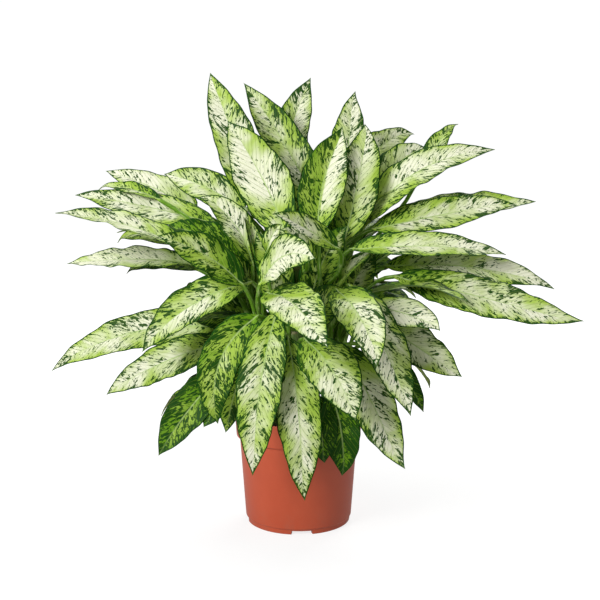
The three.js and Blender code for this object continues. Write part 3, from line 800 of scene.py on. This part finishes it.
# Smaller leaves between them: cane, height of the joint, neck, tip, arch over the straight line,
# bow to one side, width, how far the face is turned forwards, fold and greenness. In millimetres
# and degrees.
smallLeaves = {
    "smallLeaf01": ("right", 330, (175, 70, 493), (239, 110, 588), 10, 8, 34, 30, 20, 0.45),
    "smallLeaf02": ("right", 300, (87, 10, 422), (186, 40, 500), 12, 0, 40, -20, 14, 0.35),
    "smallLeaf03": ("right", 250, (119, 0, 340), (279, 0, 316), 22, 0, 34, 25, 12, 0.30),
    "smallLeaf04": ("right", 270, (120, 40, 330), (175, 70, 300), 14, 0, 34, 40, 10, 0.75),
    "smallLeaf05": ("right", 260, (80, 60, 345), (150, 90, 372), 16, 0, 46, 50, 10, 0.85),
    "smallLeaf06": ("right", 320, (120, 70, 395), (215, 100, 398), 16, 0, 42, 45, 10, 0.80),
    "smallLeaf07": ("front", 225, (104, -56, 268), (175, -84, 181), 10, 0, 32, 60, 10, 0.80),
    "smallLeaf08": ("front", 195, (23, -100, 210), (34, -118, 117), 6, 0, 44, 80, 8, 0.95),
    "smallLeaf09": ("left", 185, (-112, 0, 230), (-208, 20, 150), 12, 0, 30, 10, 14, 0.60),
    "smallLeaf10": ("left", 190, (-68, -60, 251), (-99, -100, 156), 10, 0, 40, 70, 10, 0.55),
    "smallLeaf11": ("left", 180, (-81, -20, 214), (-134, -50, 150), 8, 0, 42, 60, 10, 0.95),
    "smallLeaf12": ("left", 290, (-145, 20, 370), (-260, 50, 365), 14, 0, 40, 40, 14, 0.45),
    "smallLeaf13": ("left", 320, (-203, 30, 472), (-299, 60, 493), 6, 0, 30, 30, 20, 0.40),
    "smallLeaf14": ("left", 300, (-175, 30, 405), (-274, 60, 414), 12, 0, 44, 35, 14, 0.40),
    "smallLeaf15": ("front", 285, (-43, -70, 405), (-24, -65, 444), 4, 0, 24, 70, 24, 0.30),
    "smallLeaf17": ("middle", 300, (18, -30, 330), (66, -36, 440), 8, 0, 52, 72, 12, 0.50),
    "smallLeaf18": ("middle", 290, (-24, -24, 328), (-62, -30, 428), 8, 0, 50, 70, 12, 0.45),
    "smallLeaf19": ("front", 235, (16, -62, 292), (64, -78, 356), 10, 0, 50, 65, 10, 0.60),
    "smallLeaf20": ("right", 270, (72, -22, 326), (112, -30, 402), 8, 0, 48, 65, 10, 0.55),
    "smallLeaf21": ("left", 262, (-72, -22, 318), (-112, -30, 402), 8, 0, 48, 65, 10, 0.55),
    "smallLeaf22": ("right", 240, (64, -20, 300), (158, 10, 322), 14, 0, 48, 55, 10, 0.70),
    "smallLeaf23": ("left", 236, (-66, -26, 290), (-160, 0, 300), 14, 0, 48, 55, 10, 0.60),
    "smallLeaf24": ("front", 245, (-14, -62, 300), (-56, -74, 384), 8, 0, 48, 68, 12, 0.50),
    "smallLeaf16": ("middle", 350, (12, -60, 392), (-21, -80, 440), 6, 0, 34, 60, 18, 0.30),
}


def bezier(*controls, steps=9):
    # Bezier curve of any order: sum of C(n, i) t^i (1 - t)^(n - i) * control i.
    t = np.linspace(0, 1, steps)[:, None]
    n = len(controls) - 1
    return sum(math.comb(n, i) * t ** i * (1 - t) ** (n - i) * controls[i] for i in range(n + 1))


stalkCurve = {
    "footOut": 0.011,      # from the cane's axis to the stalk's foot
    "rise": 0.36,          # pulls on the curve, as shares of the way from foot to neck
    "outward": 0.16,
    "intoNeck": 0.30,
    "archAt": 0.48,        # where along the blade its arch is steered
}


def drawnLines(line, joint, neck, tip, arch, bow, width, turn, fold):
    # Stalk: up from the cane and over at the neck. Blade: a quadratic curve from neck to tip.
    chord = unit(tip - neck)
    above = unit(up - chord * (up @ chord))
    aside = np.cross(chord, above)
    control = neck + stalkCurve["archAt"] * (tip - neck) + 2 * arch * above + 2 * bow * aside
    axis = caneAt(line, joint)
    outward = unit((neck - axis) * np.array([1.0, 1.0, 0.0]))
    foot = axis + outward * stalkCurve["footOut"]
    reach = np.linalg.norm(neck - foot)
    start = unit(control - neck)
    rising = foot + (up * stalkCurve["rise"] + outward * stalkCurve["outward"]) * reach
    stalk = bezier(foot, rising, neck - start * stalkCurve["intoNeck"] * reach, neck)
    blade = bezier(neck, control, tip, steps=12)
    return {
        "centres": np.vstack([axis - up * sheathDepth, stalk, blade[1:]]),
        "neck": len(stalk),
        "facing": np.array([0.0, -math.sin(math.radians(turn)), math.cos(math.radians(turn))]),
        "halfWidth": width / 2,
        "fold": math.radians(fold),
    }


def growSmallLeaves():
    for number, (name, row) in enumerate(smallLeaves.items()):
        caneName, joint, neck, tip, arch, bow, width, turn, fold, greenness = row
        neck, tip = np.array(neck) / 1000, np.array(tip) / 1000
        lines = drawnLines(caneLines[caneName], joint / 1000, neck, tip, arch / 1000, bow / 1000,
                           width / 1000, turn, fold)
        growLeaf(name, lines, 501 + 7 * number, greenness)


# Leaves deep inside the bush, in a spiral up each cane. Pairs are the limits of a random draw.
innerShape = {
    "perCane": 12,
    "spiral": 137.5,       # degrees from one leaf to the next
    "firstHeading": {"left": 150, "right": 20, "front": 200, "middle": 95, "back": 60},
    "lowest": 0.055,       # above the soil
    "stalkReach": (0.045, 0.075),
    "stalkRise": (0.050, 0.085),
    "length": (0.125, 0.165),
    "width": (0.050, 0.062),
    "pitch": (-38, 58),    # degrees above level, lowest leaf and highest leaf
    "frontLimit": -0.30,   # none points further forwards than this sine
    "floor": 0.19,
    "ceiling": 0.56,       # for the tips, like the floor
    "belowTop": 0.012,     # highest joint, below the cane's top
    "arch": 0.016,
    "fold": 12,
    "greenness": (0.35, 0.8),
    "tries": 24,
    "strayHeading": 34,    # degrees to either side in each try
    "strayPitch": 22,
}


def innerLines(line, joint, heading, pitch, draw):
    shape = innerShape
    stalkReach, stalkRise, length, width = (
        draw.uniform(*shape[key]) for key in ("stalkReach", "stalkRise", "length", "width"))
    heading += math.radians(draw.uniform(-1, 1) * shape["strayHeading"])
    pitch += math.radians(draw.uniform(-1, 1) * shape["strayPitch"])
    away = np.array([math.cos(heading), math.sin(heading), 0.0])
    neck = caneAt(line, joint) + away * stalkReach + up * stalkRise
    tip = neck + length * (away * math.cos(pitch) + up * math.sin(pitch))
    tip[2] = np.clip(tip[2], shape["floor"], shape["ceiling"])
    lines = drawnLines(line, joint, neck, tip, shape["arch"], 0.0, width, 0, shape["fold"])
    lines["facing"] = up * math.cos(pitch) - away * math.sin(pitch)
    return lines


def growInnerLeaves():
    # Each leaf is drawn a few times and grown where it stands clearest of the others.
    shape = innerShape
    draw = np.random.default_rng(31)
    count = 0
    for caneName, line in caneLines.items():
        top = line[0][-1, 2] - shape["belowTop"]
        bottom = soilTop + shape["lowest"]
        for k in range(shape["perCane"]):
            share = (k + 0.5) / shape["perCane"]
            heading = math.radians(shape["firstHeading"][caneName] + k * shape["spiral"])
            pitch = math.radians(np.interp(share, (0, 1), shape["pitch"]))
            if math.sin(heading) < shape["frontLimit"]:
                continue
            joint = bottom + share * (top - bottom)
            drawn = [innerLines(line, joint, heading, pitch, draw) for _ in range(shape["tries"])]
            count += 1
            clearest = max(drawn, key=clearance)
            growLeaf(f"innerLeaf{count:02d}", clearest, 801 + 7 * count, draw.uniform(*shape["greenness"]))
    return count


rolledLeaves = {
    # cane: lean to the right, lean to the back, height over the cane's top
    "canes": {"middle": (0.010, 0.004, 0.125), "left": (-0.022, 0.004, 0.110),
              "back": (0.016, 0.020, 0.120)},
    "depth": 0.006,        # how far it stands in the cane
    "bend": 0.3,
    "halfWidth": 0.011,
    "fold": 74,
    "greenness": 0.6,
}


def growSpears():
    # The newest leaf of a cane stands rolled up in its centre.
    shape = rolledLeaves
    for number, (caneName, (right, back, height)) in enumerate(shape["canes"].items()):
        top = caneLines[caneName][0][-1]
        tip = top + np.array([right, back, height])
        base = top - up * shape["depth"]
        middle = (base + tip) / 2 - np.array([right, back, 0.0]) * shape["bend"]
        lines = {
            "centres": bezier(base, middle, tip, steps=12),
            "neck": 3,
            "facing": np.array([0.0, -1.0, 0.1]),
            "halfWidth": shape["halfWidth"],
            "fold": math.radians(shape["fold"]),
        }
        growLeaf(f"rolledLeaf{number + 1}", lines, 951 + number, shape["greenness"])


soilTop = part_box("soil")[1][2]
growSmallLeaves()
print("small leaves grown:", len(smallLeaves))
print("inner leaves grown:", growInnerLeaves())
growSpears()


potShape = {
    "footRadius": 0.076,
    "footWidth": 0.009,
    "footHeight": 0.007,
    "floorHeight": 0.006,
    "wall": 0.0022,
    "wallBottomRadius": 0.0783,
    "wallTopRadius": 0.0868,
    "collarBottom": 0.127,
    "collarBottomRadius": 0.0916,
    "collarTopRadius": 0.094,
    "height": 0.162,
    "around": 240,
    "notches": 4,
    "notchWidth": 0.031,
    "notchHeight": 0.0055,
    "firstNotch": -86,     # degrees round from the right
    "holes": 8,
    "holeRadius": 0.0045,
    "holeCircle": 0.048,   # radius of the ring of holes; one more is in the centre
}


def rounded(corners, steps=5):
    # A profile of (radius, height, rounding) corners with each corner replaced by an arc-like
    # quadratic curve that starts and ends a rounding away from it.
    profile = []
    for i, (r, z, rounding) in enumerate(corners):
        here = np.array([r, z])
        if rounding == 0:
            profile.append(here[None])
            continue
        before = here + unit(np.array(corners[i - 1][:2]) - here) * rounding
        after = here + unit(np.array(corners[i + 1][:2]) - here) * rounding
        profile.append(bezier(before, here, after, steps=steps))
    return np.concatenate(profile)


def revolve(profile, angles, lowest=None):
    # p(i, a) = (r_i cos a, r_i sin a, max(z_i, lowest(a))), closed at both ends on the axis.
    r, z = profile[1:-1, 0], profile[1:-1, 1]
    heights = np.broadcast_to(z[:, None], (len(z), len(angles)))
    if lowest is not None:
        heights = np.maximum(heights, lowest[None, :])
    grid = np.stack([r[:, None] * np.cos(angles), r[:, None] * np.sin(angles), heights], -1)
    count, around = grid.shape[:2]
    poles = np.array([[0, 0, profile[0, 1]], [0, 0, profile[-1, 1]]])
    ring = np.arange(around)
    nextRing = (ring + 1) % around
    last = (count - 1) * around
    first = np.stack([nextRing, ring, np.full(around, count * around)], -1)
    final = np.stack([last + ring, last + nextRing, np.full(around, count * around + 1)], -1)
    points = np.concatenate([grid.reshape(-1, 3), poles])
    return points, gridFaces(count, around), np.concatenate([first, final])


def wallAt(height):
    # The wall's outer radius at a height.
    shape = potShape
    along = (height - shape["footHeight"]) / (shape["collarBottom"] - shape["footHeight"])
    return shape["wallBottomRadius"] + along * (shape["wallTopRadius"] - shape["wallBottomRadius"])


def cutHoles(pot):
    # Round holes through the pot's floor, with the cut applied to the mesh.
    shape = potShape
    angle = np.linspace(0, 2 * math.pi, 24, endpoint=False)
    radius, low, high = shape["holeRadius"], -0.002, 0.02     # the cutters reach past the pot's floor
    rod = np.array([[0, low], [radius, low], [radius, high], [0, high]])
    points, quads, triangles = revolve(rod, angle)
    heading = np.arange(shape["holes"]) / shape["holes"] * 2 * math.pi
    spots = np.stack([np.cos(heading), np.sin(heading), 0 * heading], -1) * shape["holeCircle"]
    spots = np.vstack([spots, np.zeros(3)])
    allPoints = (spots[:, None] + points[None]).reshape(-1, 3)
    shift = np.arange(len(spots))[:, None, None] * len(points)
    rods = newMesh("rods", allPoints, (quads[None] + shift).reshape(-1, 4),
                   (triangles[None] + shift).reshape(-1, 3))
    cutter = bpy.data.objects.new("rods", rods)
    bpy.context.scene.collection.objects.link(cutter)
    cut = pot.modifiers.new("drainage", "BOOLEAN")
    cut.operation = "DIFFERENCE"
    cut.solver = "EXACT"
    cut.object = cutter
    bpy.context.view_layer.update()
    finished = bpy.data.meshes.new_from_object(pot.evaluated_get(bpy.context.evaluated_depsgraph_get()))
    pot.modifiers.clear()
    pot.data = finished
    bpy.data.objects.remove(cutter)


def makePot():
    # The outline (radius, height, rounding) from the middle of the underside out over the foot,
    # up the wall and the collar, over the rim and down inside, turned round the axis.
    shape = potShape
    floorTop = shape["floorHeight"] + shape["wall"]
    foot, width, wall = shape["footRadius"], shape["footWidth"], shape["wall"]
    inner = shape["collarTopRadius"] - wall
    corners = [
        (0, shape["floorHeight"], 0),
        (foot - width, shape["floorHeight"], 0.0008),
        (foot - width + 0.0005, 0, 0.0008),
        (foot, 0, 0.0012),
        (foot + 0.0007, shape["footHeight"], 0.0006),
        (wallAt(shape["footHeight"]), shape["footHeight"] + 0.0016, 0.0008),
        (shape["wallTopRadius"], shape["collarBottom"], 0.0012),
        (shape["collarBottomRadius"], shape["collarBottom"] + 0.0022, 0.0012),
        (shape["collarTopRadius"], shape["height"], 0.0009),
        (inner, shape["height"], 0.0009),
        (shape["collarBottomRadius"] - wall, shape["collarBottom"] + 0.004, 0.001),
        (shape["wallTopRadius"] - wall, shape["collarBottom"] + 0.001, 0.001),
        (wallAt(floorTop) - wall, floorTop, 0.003),
        (0, floorTop, 0),
    ]
    angles = np.linspace(0, 2 * math.pi, shape["around"], endpoint=False)
    headings = np.radians(shape["firstNotch"] + np.arange(shape["notches"]) * 360 / shape["notches"])
    halfNotch = shape["notchWidth"] / 2 / foot
    edges = (headings[:, None] + np.array([-1.006, -1, 1, 1.006]) * halfNotch).ravel() % (2 * math.pi)
    angles = np.sort(np.concatenate([angles, edges]))
    fromNotch = np.abs((angles[:, None] - headings[None] + math.pi) % (2 * math.pi) - math.pi).min(axis=1)
    lowest = np.where(fromNotch < halfNotch * 1.003, shape["notchHeight"], 0.0)
    points, quads, triangles = revolve(rounded(corners), angles, lowest)
    pot = newPiece("nurseryPot", newMesh("nurseryPot", points, quads, triangles), potSkin,
                   ["pot"])
    cutHoles(pot)
    pot.data.set_sharp_from_angle(angle=math.radians(38))
    return pot


makePot()
print("pot made")


soilShape = {
    "rings": 90,
    "around": 260,
    # size and depth of the lumps
    "rough": ((0.018, 0.0024), (0.007, 0.0016), (0.003, 0.0009), (0.0014, 0.0005)),
    "drop": 0.0035,        # mean surface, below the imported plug's top
    "clearance": 0.0004,   # to the pot's wall
    "crumbs": 900,
    "crumbSize": (0.0008, 0.0030),
    "crumbReach": 0.084,
    "crumbLift": 0.2,      # share of its size that a crumb's middle stands over the surface
}


def lumps(x, y, size, seed):
    # Value noise: random heights from 0 to 1 on a square lattice of the given size, blended
    # between its corners by t^2 (3 - 2t).
    corners = 256
    lattice = np.random.default_rng(seed).random((corners, corners))
    u, v = x / size + corners / 2, y / size + corners / 2
    i, j = np.floor(u).astype(int), np.floor(v).astype(int)
    s, t = u - i, v - j
    s, t = s * s * (3 - 2 * s), t * t * (3 - 2 * t)
    i, j = i % (corners - 1), j % (corners - 1)
    low = lattice[i, j] * (1 - s) + lattice[i + 1, j] * s
    high = lattice[i, j + 1] * (1 - s) + lattice[i + 1, j + 1] * s
    return low * (1 - t) + high * t


def soilHeight(x, y):
    return soilTop - soilShape["drop"] + sum(depth * (lumps(x, y, size, 5 + k) - 0.5) * 2
                                             for k, (size, depth) in enumerate(soilShape["rough"]))


def makeSoil():
    # Top z(r, a) = level + four sizes of lumps; below it the plug follows the pot's wall.
    shape = soilShape
    wall, collar = potShape["wall"] + shape["clearance"], potShape["collarBottom"]
    rim = potShape["collarBottomRadius"] - wall - 0.0004
    angles = np.linspace(0, 2 * math.pi, shape["around"], endpoint=False)
    r = np.linspace(0.0008, rim, shape["rings"])
    x, y = r[:, None] * np.cos(angles), r[:, None] * np.sin(angles)
    top = np.stack([x, y, soilHeight(x, y)], -1)
    floorTop = potShape["floorHeight"] + potShape["wall"] + shape["clearance"]
    sides = np.array([(rim - 0.001, collar + 0.006), (wallAt(collar) - wall, collar + 0.003),
                      (wallAt(collar) - wall, collar - 0.001), (wallAt(floorTop) - wall - 0.003, floorTop)])
    below = np.stack([sides[:, 0, None] * np.cos(angles), sides[:, 0, None] * np.sin(angles),
                      sides[:, 1, None] + 0 * angles], -1)
    grid = np.concatenate([top, below])
    count, around = grid.shape[:2]
    points = np.concatenate([grid.reshape(-1, 3), [[0, 0, top[0, :, 2].mean()], [0, 0, floorTop]]])
    ring = np.arange(around)
    nextRing = (ring + 1) % around
    last = (count - 1) * around
    crown = np.stack([ring, nextRing, np.full(around, count * around)], -1)
    base = np.stack([last + nextRing, last + ring, np.full(around, count * around + 1)], -1)
    quads = gridFaces(count, around)[:, ::-1]
    newPiece("peatPlug", newMesh("peatPlug", points, quads, np.concatenate([crown, base])), peatSkin,
             ["soil"])


def makeCrumbs():
    # Loose crumbs, half sunk in the soil: an octahedron with each face split in four, pushed out
    # to a ball, then dented and squashed at random.
    shape = soilShape
    draw = np.random.default_rng(77)
    corners = np.array([[1, 0, 0], [-1, 0, 0], [0, 1, 0], [0, -1, 0], [0, 0, 1], [0, 0, -1]], float)
    girdle = ((0, 2), (2, 1), (1, 3), (3, 0))     # edges round the middle, then to each pole
    edgesAt = list(girdle) + [(k, 4) for k in (0, 2, 1, 3)] + [(k, 5) for k in (0, 2, 1, 3)]
    edgeMiddles = corners[np.array(edgesAt)].mean(axis=1)
    ball = unit(np.vstack([corners, edgeMiddles]))
    middleOf = {frozenset(pair): len(corners) + k for k, pair in enumerate(edgesAt)}
    faces = []
    for i, j, k in [(i, j, 4) for i, j in girdle] + [(j, i, 5) for i, j in girdle]:
        ij, jk, ki = (middleOf[frozenset(pair)] for pair in ((i, j), (j, k), (k, i)))
        faces += [(i, ij, ki), (ij, j, jk), (ki, jk, k), (ij, jk, ki)]
    faces = np.array(faces)
    count = shape["crumbs"]
    heading = draw.uniform(0, 2 * math.pi, count)
    reach = shape["crumbReach"] * np.sqrt(draw.uniform(0, 1, count))
    x, y = reach * np.cos(heading), reach * np.sin(heading)
    size = draw.uniform(*shape["crumbSize"], count) * draw.uniform(0.5, 1, count)
    spots = np.stack([x, y, soilHeight(x, y) + size * shape["crumbLift"]], -1)
    lumpy = ball[None] * draw.uniform(0.75, 1.15, (count, len(ball), 1))
    stretch = draw.uniform(0.55, 1.2, (count, 1, 3))
    points = (spots[:, None] + lumpy * stretch * size[:, None, None]).reshape(-1, 3)
    triangles = (faces[None] + np.arange(count)[:, None, None] * len(ball)).reshape(-1, 3)
    mesh = newMesh("peatCrumbs", points, np.zeros((0, 4), int), triangles)
    newPiece("peatCrumbs", mesh, peatSkin)


makeSoil()
makeCrumbs()
print("soil made")


def aim(thing, target):
    # Turns the thing's own downward axis towards the target.
    direction = np.array(target) - np.array(thing.location)
    flat = math.hypot(direction[0], direction[1])
    heading = math.atan2(direction[1], direction[0])
    thing.rotation_euler = (math.atan2(flat, -direction[2]), 0.0, heading - math.pi / 2)


studio = {
    "floorReach": 6.0,
    "backdrop": 1.02,       # how bright the empty studio looks
    "skyLight": 0.215,      # how much of it lights the plant
    "floorGlow": 0.79,      # the floor's own brightness by the pot
    "floorBounce": 0.35,    # share of the glow that lights the plant
    "floorFade": (0.30, 1.5),     # metres from the pot over which it turns into the backdrop
    "floorGrey": 0.25,
    # name: place, power in watts, side in metres, aim
    "lamps": {
        "key": ((-1.45, -1.75, 1.45), 57, 1.0, (0.0, 0.0, 0.28)),
        "fill": ((1.8, -1.6, 0.9), 3, 1.4, (0.0, 0.0, 0.30)),
        "top": ((-0.1, 0.1, 2.3), 15, 1.3, (0.0, 0.0, 0.40)),
        "back": ((0.6, 1.7, 1.5), 36, 1.2, (0.0, 0.0, 0.40)),
    },
}


def makeFloor():
    # A wide square that glows like the backdrop, a little less by the pot. It is seen bright
    # while only part of its light falls on the plant.
    reach = studio["floorReach"]
    square = np.array([[-1, -1, 0], [1, -1, 0], [1, 1, 0], [-1, 1, 0]]) * reach
    floor = bpy.data.objects.new("floor", newMesh("floor", square, np.array([[0, 1, 2, 3]]), smooth=False))
    bpy.context.scene.collection.objects.link(floor)
    n = Nodes("paleFloor")
    floor.data.materials.append(n.finish((*[studio["floorGrey"]] * 3, 1.0), 0.9))
    n.shader.inputs["Specular IOR Level"].default_value = 0.0
    n.shader.inputs["Emission Color"].default_value = (1.0, 1.0, 1.0, 1.0)
    away = n.tree.nodes.new("ShaderNodeVectorMath")
    away.operation = "LENGTH"
    n.put(away.inputs[0], n.place())
    near, far = studio["floorFade"]
    glow = n.ramp(away.outputs["Value"], near, far, studio["floorGlow"], studio["backdrop"])
    rays = n.tree.nodes.new("ShaderNodeLightPath")
    shown = n.ramp(rays.outputs["Is Camera Ray"], 0.0, 1.0, studio["floorBounce"], 1.0)
    n.put(n.shader.inputs["Emission Strength"], n.times(glow, shown))


def makeBackdrop():
    # The backdrop is seen white while only part of its light falls on the plant.
    world = bpy.data.worlds.new("studioWorld")
    world.use_nodes = True
    tree = world.node_tree
    sky = tree.nodes["Background"]
    sky.inputs["Color"].default_value = (1.0, 1.0, 1.0, 1.0)
    rays = tree.nodes.new("ShaderNodeLightPath")
    strength = tree.nodes.new("ShaderNodeMapRange")
    strength.inputs["To Min"].default_value = studio["skyLight"]
    strength.inputs["To Max"].default_value = studio["backdrop"]
    tree.links.new(rays.outputs["Is Camera Ray"], strength.inputs["Value"])
    tree.links.new(strength.outputs[0], sky.inputs["Strength"])
    bpy.context.scene.world = world


def makeLamps():
    for name, (place, watts, size, target) in studio["lamps"].items():
        light = bpy.data.lights.new(name, "AREA")
        light.energy = watts
        light.size = size
        lamp = bpy.data.objects.new(name, light)
        lamp.location = place
        aim(lamp, target)
        bpy.context.scene.collection.objects.link(lamp)


camera = {
    "eye": (0.0022, -1.5, 0.531),
    "pitchDown": 7.7,      # degrees below level
    "lens": 62.3,
    "sensor": 36,
}


def makeCamera():
    data = bpy.data.cameras.new("camera")
    data.lens = camera["lens"]
    data.sensor_width = camera["sensor"]
    thing = bpy.data.objects.new("camera", data)
    thing.location = camera["eye"]
    thing.rotation_euler = (math.radians(90 - camera["pitchDown"]), 0, 0)
    bpy.context.scene.collection.objects.link(thing)
    bpy.context.scene.camera = thing


makeFloor()
makeBackdrop()
makeLamps()
makeCamera()
bpy.context.scene.view_settings.view_transform = "Standard"
print("studio ready")
